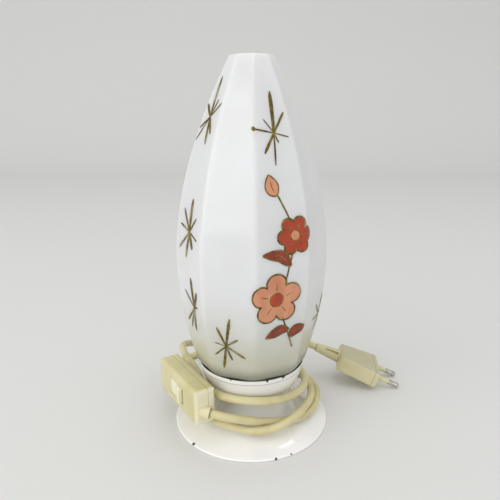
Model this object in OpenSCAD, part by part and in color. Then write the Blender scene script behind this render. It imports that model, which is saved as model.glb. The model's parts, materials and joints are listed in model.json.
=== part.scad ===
// Bedside lamp: a nine-sided opal glass shade in an enamelled cup on a flared foot, with its lead
// wound round the neck, an in-line rocker switch and a two-pin plug. Millimetres, +Z up, and the
// origin is under the middle of the foot.

/* [Foot] */
// Radius of the foot at its edge
foot_r = 56; // [48:0.5:66]
// Height of the foot, up to the neck
foot_h = 21.6; // [19:0.1:28]
// Height of the foot's edge
foot_lip = 1.7; // [1.5:0.1:3]
// Width of the edge where it stands on the table
foot_stand_w = 1.8; // [1.4:0.1:3]
// Thickness of the foot's sheet
foot_sheet = 1; // [0.8:0.1:1.6]
// How hollow the foot's flare is, where 1 is a plain cone
foot_flare = 0.66; // [0.55:0.01:0.9]
// Radius of the neck between the foot and the cup
neck_r = 17; // [15:0.5:20]

/* [Cup] */
// Outer radius of the cup's rim
cup_rim_r = 37.9; // [35:0.1:44]
// Height of the rim's band
cup_rim_h = 2.8; // [2:0.1:6]
// Step between the band and the bowl
cup_step = 0.45; // [0.3:0.05:1.5]
// Depth of the bowl below the band
cup_depth = 23.6; // [18:0.1:30]
// Thickness of the cup's sheet
cup_sheet = 0.8; // [0.6:0.1:1.4]
// Angle that the bowl's curve turns through
cup_sweep = 76; // [64:1:88]

/* [Shade] */
// Height of the glass
shade_h = 207; // [170:1:240]
// Radius over the corners at the belly
shade_r = 51.2; // [46:0.1:58]
// Height of the belly above the lower edge
shade_belly_h = 79; // [60:1:100]
// Radius over the corners at the cut top
shade_top_r = 14.1; // [12:0.1:22]
// Thickness of the glass
shade_wall = 3; // [2:0.1:4]
// Radius of the nine rounded edges
shade_edge_r = 4; // [3.4:0.1:6]
// Radius of those edges at the lower end, where they fade
shade_foot_edge_r = 24; // [4:0.5:28]
// Height over which the edges fade
shade_fade_h = 60; // [30:1:80]
// How full the shade's curve is, where 2 is a parabola
shade_fullness = 1.85; // [1.5:0.05:2.4]
// Turn of the shade in its cup, in degrees
shade_turn = 2.7; // [-20:0.1:20]
// Depth of the shade's lower end in the cup's rim
shade_sink = 3; // [2:0.1:5]
// How far that end turns in
shade_tuck = 4.9; // [3:0.1:7]
// Height over which it turns in
shade_tuck_h = 7; // [6:0.5:12]
// Room between the shade's corners and the cup's rim
shade_room = 0.3; // [0.3:0.1:1]

/* [Rod] */
// Radius of the hollow threaded rod
rod_r = 5; // [4.5:0.1:6]
// Radius of the rod's bore
rod_bore_r = 3.5; // [3:0.1:3.8]
// Length of the rod below its nut
rod_stub = 2; // [1:0.1:4]
// Width of the nut across its flats
nut_flats = 17; // [15:0.1:19]
// Thickness of the nut
nut_t = 3; // [2:0.1:5]
// Radius of the washer
washer_r = 11; // [9:0.1:13]
// Thickness of the washer
washer_t = 1; // [0.8:0.1:2]

/* [Lampholder] */
// Radius of the lampholder's base
holder_r = 13.5; // [13:0.1:16]
// Wall of the base and the body
holder_wall = 1.75; // [1.4:0.05:2]
// Height of the base
holder_base_h = 19.6; // [17:0.1:24]
// Depth of thread in the base
holder_thread = 10.6; // [8:0.1:11.5]
// Depth of the body's spigot in the base
holder_spigot = 4; // [3:0.1:5]
// Height of the body above the base
holder_body_h = 33; // [28:0.5:38]
// Thickness of the insulating insert
insert_t = 10; // [8:0.1:12]
// Inner radius of the screw shell
shell_r = 7.15; // [7:0.01:7.6]
// Thickness of the shell's sheet
shell_sheet = 0.45; // [0.3:0.01:0.6]
// Height of the screw shell
shell_h = 20; // [16:0.1:24]
// Height of the centre contact
contact_h = 2; // [1.5:0.1:3]
// Distance of each terminal screw from the axis
terminal_at = 5; // [4.4:0.1:5.8]

/* [Bulb] */
// Greatest radius of the bulb's glass
bulb_r = 17.5; // [15:0.1:22]
// Length of the bulb's glass
bulb_l = 77; // [60:1:95]
// Distance from the cap to the glass's widest ring
bulb_belly_h = 28; // [20:1:34]
// Thickness of the bulb's glass
bulb_wall = 0.6; // [0.5:0.1:1]
// Height of the bulb's screw cap
cap_h = 17; // [14:0.1:20]
// Thickness of the cap's sheet
cap_sheet = 0.4; // [0.3:0.05:0.6]
// Height of the insulating ring under the cap
insulator_h = 3; // [2:0.1:4]
// Length of the glass stem inside
stem_l = 24; // [18:1:30]
// Radius of the filament's bow
filament_r = 6; // [4:0.1:8]

/* [Lead] */
// Diameter of the lead
cord_d = 5.5; // [5:0.1:5.8]
// Diameter of each insulated core
core_d = 2; // [1.6:0.1:2.2]
// Wall of the bushes that the lead goes into
bush_wall = 1.3; // [1:0.1:2]
// Length of the bush outside the foot
bush_l = 5; // [4:0.1:7]
// Length of the switch's collars outside its casing
collar_l = 3; // [2:0.1:5]
// Length of the collars inside the casing
collar_tail = 4.4; // [4.2:0.1:5]

/* [Switch] */
// Length of the in-line switch
switch_l = 58; // [54:0.5:64]
// Depth of the switch, from its rocker's face to its back
switch_w = 15; // [14:0.1:17]
// Height of the switch
switch_h = 25; // [23:0.1:26]
// Wall of the switch's casing
switch_wall = 1.6; // [1.2:0.1:2]
// Radius of the casing's edges
switch_edge_r = 2.4; // [1.6:0.1:3]
// Depth of the casing's back half
switch_back_w = 5.5; // [5:0.1:6.5]
// Length of the rocker
rocker_l = 17.6; // [15:0.1:20]
// Height of the rocker
rocker_h = 11; // [9:0.1:12]
// Angle that the rocker swings through
rocker_swing = 18; // [10:1:20]
// Radius of the rocker's pin
rocker_pin_r = 1; // [0.8:0.05:1.2]
// Distance of each casing screw from the middle
casing_screw_at = 19; // [17:0.1:21]

/* [Plug] */
// Length of the plug's body
plug_l = 34; // [30:0.5:40]
// Width of the body at the pins
plug_front_w = 35; // [30:0.1:36]
// Width of the body at the lead
plug_rear_w = 26; // [20:0.1:32]
// Thickness of the body
plug_t = 14; // [12:0.1:15]
// Radius of the body's edges
plug_edge_r = 2.5; // [1.5:0.1:4]
// Length of the pins
prong_l = 19; // [18:0.1:20]
// Radius of the pins
prong_r = 2; // [1.9:0.01:2.2]
// Distance between the pins
prong_gap = 18.6; // [17:0.1:20]
// Length of the sleeves on the pins
sleeve_l = 9.5; // [8:0.1:11]
// Thickness of the sleeves' wall
sleeve_wall = 0.5; // [0.3:0.05:0.8]
// Wall of the strain relief at the plug
relief_front_wall = 2.6; // [2:0.1:4]
// Wall of the strain relief at the lead
relief_rear_wall = 0.8; // [0.75:0.05:1.4]
// Length of the plug's strain relief
relief_l = 20; // [16:0.5:26]
// Length of the slots in the strain relief
relief_slot_l = 11; // [6:0.5:14]
// Width of the slots
relief_slot_w = 1.8; // [1:0.1:2.4]

/* [Hidden] */
$fn = 64;
up = [0, 0, 1];

// Clearances
press_room = 0.02;
thread_room = 0.05;
slip_room = 0.1;
turn_room = 0.05;
hole_room = 0.2;
move_room = 0.3;
table_room = 0.12;

// Heights that stack up from the table
cup_z = foot_h;
step_z = cup_z + cup_depth;
rim_top_z = step_z + cup_rim_h;
shade_z = rim_top_z - shade_sink;
holder_z = cup_z + cup_sheet;
holder_top_z = holder_z + holder_base_h;
insert_z = holder_top_z - holder_spigot;
insert_top_z = insert_z + insert_t;
bulb_z = insert_top_z + contact_h + slip_room;
tip_h = 1.2;
cap_z = bulb_z + tip_h + insulator_h;
glass_z = cap_z + cap_h;
washer_z = foot_h - foot_sheet - washer_t;
nut_z = washer_z - nut_t;

// Radii that follow from what they fit
rod_hole_r = rod_r + hole_room;
bowl_r = cup_rim_r - cup_step;
seat_r = cup_rim_r - cup_sheet - shade_room;
seat_tuck = shade_tuck * pow(1 - shade_sink / shade_tuck_h, 2);
shade_foot_r = shade_r - (shade_r - seat_r - seat_tuck)
    / pow(1 - shade_sink / shade_belly_h, shade_fullness);
socket_r = holder_r - holder_wall;
body_bore_r = socket_r - slip_room - holder_wall;
insert_r = body_bore_r - slip_room;
insert_seat = 1.2;
terminal_r = 1.5;
terminal_l = 6;
terminal_head_r = 2.4;
terminal_head_h = 2.2;
contact_r = 2.4;
cap_r = shell_r - hole_room;
cord_r = cord_d / 2;
bush_r = cord_r + bush_wall;
bush_grip = 0.65;
bush_bore_r = cord_r - bush_grip;

// Profiles of revolution
function backwards(list) = [for (i = [len(list) - 1 : -1 : 0]) list[i]];
foot_steps = 20;
function foot_at(u) = [neck_r + (foot_r - neck_r) * u, foot_h - (foot_h - foot_lip) * pow(u, foot_flare)];
function foot_share(i) = pow(i / foot_steps, 2);
function foot_slope(u) = [foot_r - neck_r, -(foot_h - foot_lip) * foot_flare * pow(u, foot_flare - 1)];
function inward(slope) = [slope.y, -slope.x] / norm(slope);
function foot_z(r) = foot_at((r - neck_r) / (foot_r - neck_r)).y;
stand_u = (foot_r - foot_stand_w - neck_r) / (foot_r - neck_r);
lip_round = foot_lip / 2;
foot_profile = concat(
    [[rod_hole_r, foot_h]],
    [for (i = [0 : foot_steps]) foot_at(foot_share(i))],
    [for (a = [0 : 30 : 90]) [foot_r - lip_round * (1 - cos(a)), lip_round * (1 - sin(a))]],
    [[foot_r - foot_stand_w, 0]],
    [for (i = [foot_steps : -1 : 2]) let (u = min(foot_share(i), stand_u))
        if (foot_share(i - 1) < stand_u) foot_at(u) + foot_sheet * inward(foot_slope(u))],
    [[neck_r - foot_sheet, foot_h - foot_sheet], [rod_hole_r, foot_h - foot_sheet]]);

bowl_steps = 16;
bowl_a = (bowl_r - neck_r) / sin(cup_sweep);
bowl_b = cup_depth / (1 - cos(cup_sweep));
bowl_turns = [for (i = [0 : bowl_steps]) cup_sweep * i / bowl_steps];
function bowl_at(a) = [neck_r + bowl_a * sin(a), cup_z + bowl_b * (1 - cos(a))];
function bowl_inner(a) = bowl_at(a) - cup_sheet * inward([bowl_a * cos(a), bowl_b * sin(a)]);
rim_round = cup_sheet / 2;
band_round = min(rim_round, cup_step);
cup_profile = concat(
    [[rod_hole_r, cup_z]],
    [for (a = bowl_turns) bowl_at(a)],
    [for (a = [0 : 30 : 90]) [cup_rim_r - band_round * (1 - sin(a)), step_z + band_round * (1 - cos(a))]],
    [for (a = [0 : 30 : 180]) [cup_rim_r - rim_round * (1 - cos(a)), rim_top_z - rim_round * (1 - sin(a))]],
    [for (r = [cup_rim_r, bowl_r]) [r - cup_sheet, step_z + cup_sheet]],
    [for (a = backwards(bowl_turns)) bowl_inner(a)],
    [[rod_hole_r, cup_z + cup_sheet]]);

// The shade is a nonagon with rounded edges whose size follows the height
shade_sides = 9;
shade_levels = 20;
tuck_levels = 5;
shade_heights = concat(
    [for (i = [0 : tuck_levels - 1]) shade_tuck_h * i / tuck_levels],
    [for (i = [0 : shade_levels]) shade_tuck_h + (shade_h - shade_tuck_h) * i / shade_levels]);
edge_half = 180 / shade_sides;
function shade_radius(h) = h < shade_belly_h
    ? shade_r - (shade_r - shade_foot_r) * pow((shade_belly_h - h) / shade_belly_h, shade_fullness)
        - shade_tuck * pow(max(0, 1 - h / shade_tuck_h), 2)
    : shade_r - (shade_r - shade_top_r)
        * pow((h - shade_belly_h) / (shade_h - shade_belly_h), shade_fullness);
function shade_edge(h) = shade_edge_r
    + (shade_foot_edge_r - shade_edge_r) * pow(max(0, 1 - h / shade_fade_h), 2);
function nonagon(h, inset) =
    let (flat = (shade_radius(h) - shade_edge(h)) * cos(edge_half) + shade_edge(h) - inset)
    let (round_r = shade_edge(h) - inset)
    let (middle = (flat - round_r) / cos(edge_half))
    [for (k = [0 : shade_sides - 1]) for (j = [-2 : 2])
        let (a = shade_turn - 90 + k * 360 / shade_sides, b = a + j * edge_half / 2)
        [middle * cos(a) + round_r * cos(b), middle * sin(a) + round_r * sin(b), shade_z + h]];
shade_rings = concat(
    [for (h = shade_heights) nonagon(h, 0)],
    [for (h = backwards(shade_heights)) nonagon(h, shade_wall)]);

// The bulb's glass swells from its cap and closes in a long half ellipse
bulb_steps = 12;
function bulb_swell(t, wall) = [cap_r - wall + (bulb_r - cap_r) * (1 - cos(180 * t)) / 2, bulb_belly_h * t];
function bulb_crown(a, wall) =
    [(bulb_r - wall) * cos(a), bulb_belly_h + (bulb_l - bulb_belly_h - wall) * sin(a)];
function bulb_line(wall) = concat(
    [for (i = [0 : bulb_steps]) bulb_swell(i / bulb_steps, wall)],
    [for (i = [1 : bulb_steps]) bulb_crown(90 * i / bulb_steps, wall)]);

// Smooth routes: a curve through the points, with straight first and last spans
function unit(v) = v / norm(v);
function span_dir(p, i) = unit(p[i + 1] - p[i]);
function span_len(p, i) = norm(p[i + 1] - p[i]);
function tangent(p, i) =
    i < 2 ? span_dir(p, 0)
    : i > len(p) - 3 ? span_dir(p, len(p) - 2)
    : (span_dir(p, i) * span_len(p, i - 1) + span_dir(p, i - 1) * span_len(p, i))
        / (span_len(p, i - 1) + span_len(p, i));
function span_point(p, i, t) =
    p[i] * (2 * pow(t, 3) - 3 * pow(t, 2) + 1) + p[i + 1] * (3 * pow(t, 2) - 2 * pow(t, 3))
    + tangent(p, i) * span_len(p, i) * (pow(t, 3) - 2 * pow(t, 2) + t)
    + tangent(p, i + 1) * span_len(p, i) * (pow(t, 3) - pow(t, 2));
function smooth(p, spacing) = concat(
    [for (i = [0 : len(p) - 2]) let (steps = max(1, round(span_len(p, i) / spacing)))
        for (k = [0 : steps - 1]) span_point(p, i, k / steps)],
    [p[len(p) - 1]]);
function heading(p, i) =
    i == 0 ? span_dir(p, 0) : i == len(p) - 1 ? span_dir(p, i - 1) : unit(p[i + 1] - p[i - 1]);
function ring(c, dir, r, sides, side_of) =
    let (s = unit(cross(dir, side_of)), t = cross(s, dir))
    [for (k = [0 : sides - 1]) c + r * (cos(360 * k / sides) * s + sin(360 * k / sides) * t)];
function level(degrees, slope) = unit([cos(degrees), sin(degrees), slope]);
function polar(degrees, r, z) = [r * cos(degrees), r * sin(degrees), z];

// Where the lead enters the foot, at the back
gland_turn = 110;
gland_at_r = 28;
gland_at = polar(gland_turn, gland_at_r, foot_z(gland_at_r));
gland_dir = level(37, 0.66);
gland_tail = 6;

// Where the switch leans against the winding, and the way that each bush points
switch_at = [-45.8, -17.2, 31.5];
switch_yaw = -57;
lead_drop = 3.5;
switch_dir = level(switch_yaw, 0);
near_dir = level(-14, -0.14);
far_dir = level(95, -0.15);
near_at = switch_at + switch_dir * switch_l / 2 - up * lead_drop;
far_at = switch_at - switch_dir * switch_l / 2 - up * lead_drop;

// The plug lies on its pins' tips and slopes up to the lead
plug_dip = 21;
plug_heading = -7.5;
plug_tip = [122.6, 42.7, prong_r * cos(plug_dip) + table_room];
plug_dir = [cos(plug_dip) * cos(plug_heading), cos(plug_dip) * sin(plug_heading), -sin(plug_dip)];
relief_end = plug_tip - plug_dir * (prong_l + plug_l + relief_l);

// The winding's stations: angle round the lamp, distance from its axis and height
winding_stations = [
    [-90, 39.8, 20.2], [-75, 36.4, 16.3], [-60, 36, 13.7], [-45, 38.6, 12.2], [-30, 42.2, 11.4],
    [-15, 45.6, 11], [0, 48.8, 11.2], [15, 51.8, 12.2], [30, 53.2, 12.4], [45, 52.8, 11.2],
    [60, 51.2, 9.8], [90, 48.5, 9], [120, 47.5, 9], [150, 46.5, 9.3], [165, 45.8, 10.2],
    [180, 45, 11.8], [195, 44.2, 14], [210, 43, 15.4], [225, 41.9, 15.8], [240, 41, 15.6],
    [255, 40.7, 14.7], [270, 41.2, 13.4], [285, 42.6, 14.2], [300, 43.6, 16.4], [315, 43.3, 17.8],
    [330, 42.6, 18], [345, 43.2, 17.4], [360, 44.8, 17], [375, 46, 17.2], [390, 47, 17.4],
    [405, 48.6, 17.4], [420, 50.8, 16.8], [435, 53.8, 14.6], [450, 59, 11.5], [463, 69.4, 11],
    [474.5, 79.2, 16], [483, 82.2, 22], [492, 80.6, 27.6], [500, 74.5, 31], [508.5, 63.3, 32.6],
    [522, 48.4, 33.3], [540, 39.6, 33.3], [555, 37.6, 33.4], [570, 37.3, 33.6], [600, 37.6, 33.9],
    [630, 37.6, 33.7], [660, 36.8, 31.2], [690, 36.4, 27.9], [720, 39.6, 25.2], [735, 41.8, 25],
    [750, 43.2, 25.2], [765, 43, 25.4], [780, 41.3, 25], [795, 38.4, 23.4]];
winding_points = concat(
    [near_at + near_dir * collar_l, near_at + near_dir * (collar_l + cord_d)],
    [for (s = winding_stations) polar(s[0], s[1], s[2])],
    [gland_at + gland_dir * (bush_l + cord_d), gland_at + gland_dir * bush_l]);
tail_points = concat(
    [far_at + far_dir * collar_l, far_at + far_dir * (collar_l + cord_d)],
    [[-63.6, 33, 21.4], [-65, 47, 14.6], [-65.2, 60, 8.4], [-63.5, 71, 4.4], [-58, 80.5, 3.1],
     [-49.5, 87.5, 3], [-37, 93.5, 3], [-20, 99.5, 3], [-4.5, 102.4, 3.4], [8.5, 101.8, 5.4],
     [19, 98, 10.2], [25.5, 91.5, 16.4], [28.3, 83.5, 22.6], [29, 75.3, 27.9], [30.4, 67.9, 31.2],
     [34.6, 60.7, 32.7], [41, 55.3, 32.3]],
    [relief_end - plug_dir * cord_d, relief_end]);
winding_spacing = 11.5;
winding_sides = 6;
tail_spacing = 14;
tail_sides = 8;
core_sides = 6;

// The least gap of the winding to itself, on points that lie close together
gap_spacing = 3;
gap_points = smooth(winding_points, gap_spacing);
gap_skip = ceil(4 * cord_d / gap_spacing);
winding_gap = min([for (i = [0 : len(gap_points) - 1 - gap_skip])
    min([for (j = [i + gap_skip : len(gap_points) - 1]) norm(gap_points[i] - gap_points[j])])]) - cord_d;
echo(str("least gap of the winding to itself: ", winding_gap, " mm"));

// Routes of the insulated cores
core_gap = core_d / 2 + move_room;
core_start = gland_at - gland_dir * gland_tail;
core_bend = core_start - gland_dir * core_d;
core_up = unit(up - gland_dir * gland_dir.z);
core_flat = unit(cross(core_bend, up));
core_top_z = holder_z + holder_thread - core_d / 2 + hole_room;
terminal_z = insert_z - terminal_head_h;
// A point on the way in from the bend, as a share of the distance from the axis
function core_run(share, z) = [core_bend.x * share, core_bend.y * share, z];
// The two cores lie above each other in the foot and side by side in the rod
core_middle = [[core_start, core_up], [core_bend, core_up], [core_run(0.6, 7), core_up],
    [core_run(0.34, 6.8), unit(core_up + core_flat)], [core_run(0.1, 7.5), core_flat],
    [core_run(0.02, 12), core_flat], [[0, 0, nut_z], core_flat], [[0, 0, core_top_z], core_flat]];
function lamp_core(side) = concat(
    [for (m = core_middle) m[0] + m[1] * side * core_gap],
    [[side * terminal_at, 0, terminal_z - core_d / 2], [side * terminal_at, 0, terminal_z]]);

// Inside of the switch, in its own frame: x towards the near end, y away from the rocker
switch_face_y = -switch_w / 2;
switch_inner_y = switch_face_y + switch_wall;
switch_floor_y = switch_w / 2 - switch_wall;
split_y = switch_w / 2 - switch_back_w;
pivot_y = switch_face_y + 4;
rocker_proud = 1.7;
rocker_dish = 1.4;
rocker_deep = 5;
rocker_side_deep = 2;
rocker_back_l = 6;
rocker_side_room = 1.1;
rocker_end_room = 0.5;
ear_t = 2.3;
ear_l = 5;
ear_deep = 5.6;
ear_z = rocker_h / 2 + rocker_end_room + hole_room;
bridge_l = 16;
bridge_h = 4;
bridge_t = 0.8;
bridge_y = switch_face_y + rocker_deep;
post_l = 4;
post_h = 5;
post_at = 7;
function bridge_reach(x) = pivot_y + x * sin(rocker_swing / 2)
    + (bridge_y + bridge_t - pivot_y) * cos(rocker_swing / 2) + move_room;
posts = [[0, bridge_reach(post_l / 2)], [post_at, bridge_reach(bridge_l / 2)]];
post_screw_y = switch_floor_y - 2.4;
post_screw_r = 1.2;
post_screw_l = 3;
post_screw_head_r = 2;
post_screw_head_h = 1.6;
casing_screw_r = 1.5;
casing_screw_z = 5;
casing_screw_l = 9;
casing_head_r = 2.7;
casing_head_h = 1.3;
casing_seat_y = switch_w / 2 - casing_head_h - slip_room;
casing_post_r = 3.4;
core_low = -9;
bush_inside = switch_l / 2 - 7;
switch_live_near = [[bush_inside, -1, -lead_drop], [18, 1, -4.5], [14, post_screw_y, -2.5],
    [post_at + post_l / 2 + core_d, post_screw_y, 0], [post_at + post_l / 2, post_screw_y, 0]];
switch_live_far = [[-bush_inside, 1, -lead_drop], [-18, 2, -4], [-9, post_screw_y, -2],
    [-post_l / 2 - core_d, post_screw_y, 0], [-post_l / 2, post_screw_y, 0]];
switch_neutral = [[bush_inside, -1, -lead_drop - core_d - slip_room], [20, 0, -7.5], [10, 1, core_low],
    [-10, 1, core_low], [-20, 1, -7.5], [-bush_inside, 1, -lead_drop - core_d - slip_room]];

// The plug's strain relief tapers to the lead, with slots along it
prong_root = 12;
prong_core_r = prong_r - sleeve_wall;
relief_front_r = cord_r + relief_front_wall;
relief_rear_r = cord_r + relief_rear_wall;
relief_slots = 4;
relief_slot_start = 1.5;
relief_slot_r = cord_r + 0.3;

// Shared shapes

module tube(r, bore_r, h) {
    difference() {
        cylinder(r = r, h = h);
        translate([0, 0, -h]) cylinder(r = bore_r, h = 3 * h);
    }
}

// A closed round tube along a list of points
module sweep(p, r, sides, side_of = up) {
    n = len(p);
    rings = [for (i = [0 : n - 1]) each ring(p[i], heading(p, i), r, sides, side_of)];
    walls = [for (i = [0 : n - 2]) for (k = [0 : sides - 1])
        let (a = i * sides + k, b = i * sides + (k + 1) % sides)
        each [[a, b, b + sides], [a, b + sides, a + sides]]];
    start = [for (k = [1 : sides - 2]) [0, k + 1, k]];
    end = [for (k = [1 : sides - 2]) (n - 1) * sides * [1, 1, 1] + [0, k, k + 1]];
    polyhedron(rings, concat(walls, start, end));
}

module along(at, dir) {
    translate(at) rotate([0, acos(dir.z), atan2(dir.y, dir.x)]) children();
}

// A bush that points out of its casing, with a bore for the cores
module bush(at, dir, tail, out) {
    along(at - dir * tail, dir) tube(bush_r, bush_bore_r, tail + out);
}

module bush_hole(at, dir, tail, out) {
    along(at - dir * tail, dir) cylinder(r = bush_r + thread_room, h = tail + out);
}

module round_rect(w, h, r) {
    square([w - 2 * r, h], center = true);
    square([w, h - 2 * r], center = true);
    for (x = [-1, 1], y = [-1, 1]) translate([x * (w / 2 - r), y * (h / 2 - r)]) circle(r = r);
}

// A box whose edges are all rounded
module round_box(size, r) {
    intersection() {
        linear_extrude(size.z, center = true) round_rect(size.x, size.y, r);
        rotate([90, 0, 0]) linear_extrude(size.y, center = true) round_rect(size.x, size.z, r);
        rotate([90, 0, 90]) linear_extrude(size.x, center = true) round_rect(size.y, size.z, r);
    }
}

module switch_place() {
    translate(switch_at) rotate(switch_yaw) children();
}

// Points a shape that stands on z along y, away from the rocker
module towards_back(at) {
    translate(at) rotate([-90, 0, 0]) children();
}

module plug_place() {
    translate(plug_tip) rotate([0, plug_dip, plug_heading]) children();
}

// Points a shape that stands on z back along the plug
module back_from(x, y = 0) {
    translate([-x, y, 0]) rotate([0, -90, 0]) children();
}

module at_prongs() {
    for (side = [-1, 1]) translate([0, side * prong_gap / 2, 0]) children();
}

// Foot, cup and shade

module enamel_foot() color("white") {
    difference() {
        rotate_extrude() polygon(foot_profile);
        bush_hole(gland_at, gland_dir, 2 * gland_tail, bush_l);
    }
}

module enamel_cup() color("white") {
    rotate_extrude() polygon(cup_profile);
}

module glass_shade() color("ghostwhite") {
    n = len(shade_rings);
    m = len(shade_rings[0]);
    points = [for (r = shade_rings) each r];
    polyhedron(points, [for (i = [0 : n - 1]) for (k = [0 : m - 1])
        let (a = i * m + k, b = i * m + (k + 1) % m)
        let (c = (i + 1) % n * m + k, d = (i + 1) % n * m + (k + 1) % m)
        each [[a, c, d], [a, d, b]]]);
}

// Rod that clamps the foot, the cup and the lampholder

module threaded_tube() color("goldenrod") {
    bottom = nut_z - rod_stub;
    top = holder_z + holder_thread - 1;
    translate([0, 0, bottom]) tube(rod_r, rod_bore_r, top - bottom);
}

module tube_nut() color("silver") {
    translate([0, 0, nut_z]) difference() {
        cylinder(r = nut_flats / 2 / cos(30), h = nut_t, $fn = 6);
        translate([0, 0, -nut_t]) cylinder(r = rod_r + thread_room, h = 3 * nut_t);
    }
}

module tube_washer() color("silver") {
    translate([0, 0, washer_z]) tube(washer_r, rod_hole_r, washer_t);
}

// Lampholder

module holder_base() color("ivory") {
    thread_r = rod_r + thread_room;
    seat_r = body_bore_r - insert_seat;
    thread_top = holder_z + holder_thread;
    skirt = 3;
    rotate_extrude() polygon([
        [thread_r, holder_z], [holder_r - skirt, holder_z], [holder_r, holder_z + skirt],
        [holder_r, holder_top_z], [socket_r, holder_top_z], [socket_r, insert_z], [seat_r, insert_z],
        [seat_r, thread_top], [thread_r, thread_top]]);
}

module holder_body() color("ivory") {
    body_r = body_bore_r + holder_wall;
    spigot_r = socket_r - slip_room;
    flange = 3;
    top = holder_top_z + holder_body_h;
    rotate_extrude() polygon([
        [body_bore_r, insert_z], [spigot_r, insert_z], [spigot_r, holder_top_z],
        [holder_r, holder_top_z], [holder_r, holder_top_z + flange], [body_r, holder_top_z + flange],
        [body_r, top], [body_bore_r, top]]);
}

module holder_insert() color("whitesmoke") {
    translate([0, 0, insert_z]) difference() {
        cylinder(r = insert_r, h = insert_t);
        for (side = [-1, 1]) translate([side * terminal_at, 0, -1])
            cylinder(r = terminal_r + press_room, h = terminal_l + 1 + slip_room);
    }
}

module screw_shell() color("gold") {
    translate([0, 0, insert_top_z]) tube(shell_r + shell_sheet, shell_r, shell_h);
}

module centre_contact() color("gold") {
    translate([0, 0, insert_top_z]) cylinder(r = contact_r, h = contact_h);
}

module holder_terminal_screws() color("silver") {
    for (side = [-1, 1]) translate([side * terminal_at, 0, terminal_z]) {
        cylinder(r = terminal_head_r, h = terminal_head_h);
        cylinder(r = terminal_r, h = terminal_head_h + terminal_l);
    }
}

// Bulb

module bulb_glass() color("azure") {
    translate([0, 0, glass_z]) rotate_extrude()
        polygon(concat(bulb_line(0), backwards(bulb_line(bulb_wall))));
}

module bulb_cap() color("silver") {
    threads = 5;
    points_per_thread = 4;
    thread_deep = 0.35;
    steps = threads * points_per_thread;
    translate([0, 0, cap_z]) rotate_extrude() polygon(concat(
        [for (i = [0 : steps])
            [cap_r - thread_deep * (1 - cos(360 * i / points_per_thread)) / 2, cap_h * i / steps]],
        [[cap_r - thread_deep - cap_sheet, cap_h], [cap_r - thread_deep - cap_sheet, 0]]));
}

module bulb_insulator() color("dimgray") {
    translate([0, 0, cap_z - insulator_h])
        cylinder(r1 = contact_r + 1, r2 = cap_r - slip_room, h = insulator_h);
}

module bulb_contact() color("silver") {
    translate([0, 0, bulb_z]) cylinder(r = contact_r, h = tip_h);
}

module bulb_stem() color("azure") {
    flare_r = cap_r - bulb_wall - slip_room;
    flare_h = 1.2;
    stem_r = 2.2;
    translate([0, 0, glass_z]) {
        cylinder(r = flare_r, h = flare_h);
        cylinder(r = stem_r, h = stem_l);
    }
}

module filament() color("gray") {
    wire_r = 0.35;
    rise = 10;
    root = 1.5;
    straight = 1;
    bow = [for (a = [0 : 20 : 180]) [filament_r * cos(a), 0, rise + filament_r * sin(a)]];
    translate([0, 0, glass_z + stem_l]) sweep(
        concat([[root, 0, 0], [root, 0, straight]], bow, [[-root, 0, straight], [-root, 0, 0]]),
        wire_r, core_sides, [0, 1, 0]);
}

// Lead

module cord_gland() color("khaki") {
    bush(gland_at, gland_dir, gland_tail, bush_l);
}

module lamp_cores() color("saddlebrown") {
    for (side = [-1, 1]) sweep(lamp_core(side), core_d / 2, core_sides, core_flat);
}

module cord_winding() color("khaki") {
    sweep(smooth(winding_points, winding_spacing), cord_r, winding_sides);
}

module cord_tail() color("khaki") {
    sweep(smooth(tail_points, tail_spacing), cord_r, tail_sides);
}

// In-line switch

// One half of the casing, between two depths
module switch_shell(low_y, high_y) {
    size = [switch_l, switch_w, switch_h];
    intersection() {
        difference() {
            round_box(size, switch_edge_r);
            cube(size - 2 * switch_wall * [1, 1, 1], center = true);
        }
        translate([-switch_l, low_y, -switch_h]) cube([2 * switch_l, high_y - low_y, 2 * switch_h]);
    }
}

module at_casing_screws(y) {
    for (side = [-1, 1]) towards_back([side * casing_screw_at, y, casing_screw_z]) children();
}

module switch_bush_holes() {
    bush_hole(near_at, near_dir, collar_tail, collar_l);
    bush_hole(far_at, far_dir, collar_tail, collar_l);
}

module switch_front() color("lemonchiffon") {
    window = [rocker_l + 2 * rocker_side_room, 2 * switch_wall, rocker_h + 2 * rocker_end_room];
    difference() {
        switch_place() difference() {
            union() {
                switch_shell(-switch_w, split_y);
                at_casing_screws(switch_inner_y - thread_room)
                    cylinder(r = casing_post_r, h = split_y - switch_inner_y + thread_room);
                for (side = [-1, 1])
                    translate([0, switch_face_y + thread_room + ear_deep / 2, side * (ear_z + ear_t / 2)])
                        cube([ear_l, ear_deep, ear_t], center = true);
            }
            translate([-window.x / 2, switch_face_y - switch_wall, -window.z / 2]) cube(window);
            translate([0, pivot_y, -switch_h / 2 + switch_wall])
                cylinder(r = rocker_pin_r + press_room, h = switch_h - 2 * switch_wall);
            at_casing_screws(split_y - casing_screw_l)
                cylinder(r = casing_screw_r + press_room, h = 2 * casing_screw_l);
        }
        switch_bush_holes();
    }
}

module switch_back() color("lemonchiffon") {
    difference() {
        switch_place() difference() {
            union() {
                switch_shell(split_y, switch_w);
                at_casing_screws(split_y) cylinder(r = casing_post_r, h = switch_back_w - switch_wall);
            }
            at_casing_screws(0) cylinder(r = casing_screw_r + slip_room, h = switch_w);
            at_casing_screws(casing_seat_y) cylinder(r = casing_head_r + slip_room, h = switch_w);
        }
        switch_bush_holes();
    }
}

// The rocker rests at one end of its swing
module rocker_pose() {
    switch_place() translate([0, pivot_y, 0]) rotate(-rocker_swing / 2)
        translate([0, -pivot_y, 0]) children();
}

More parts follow.
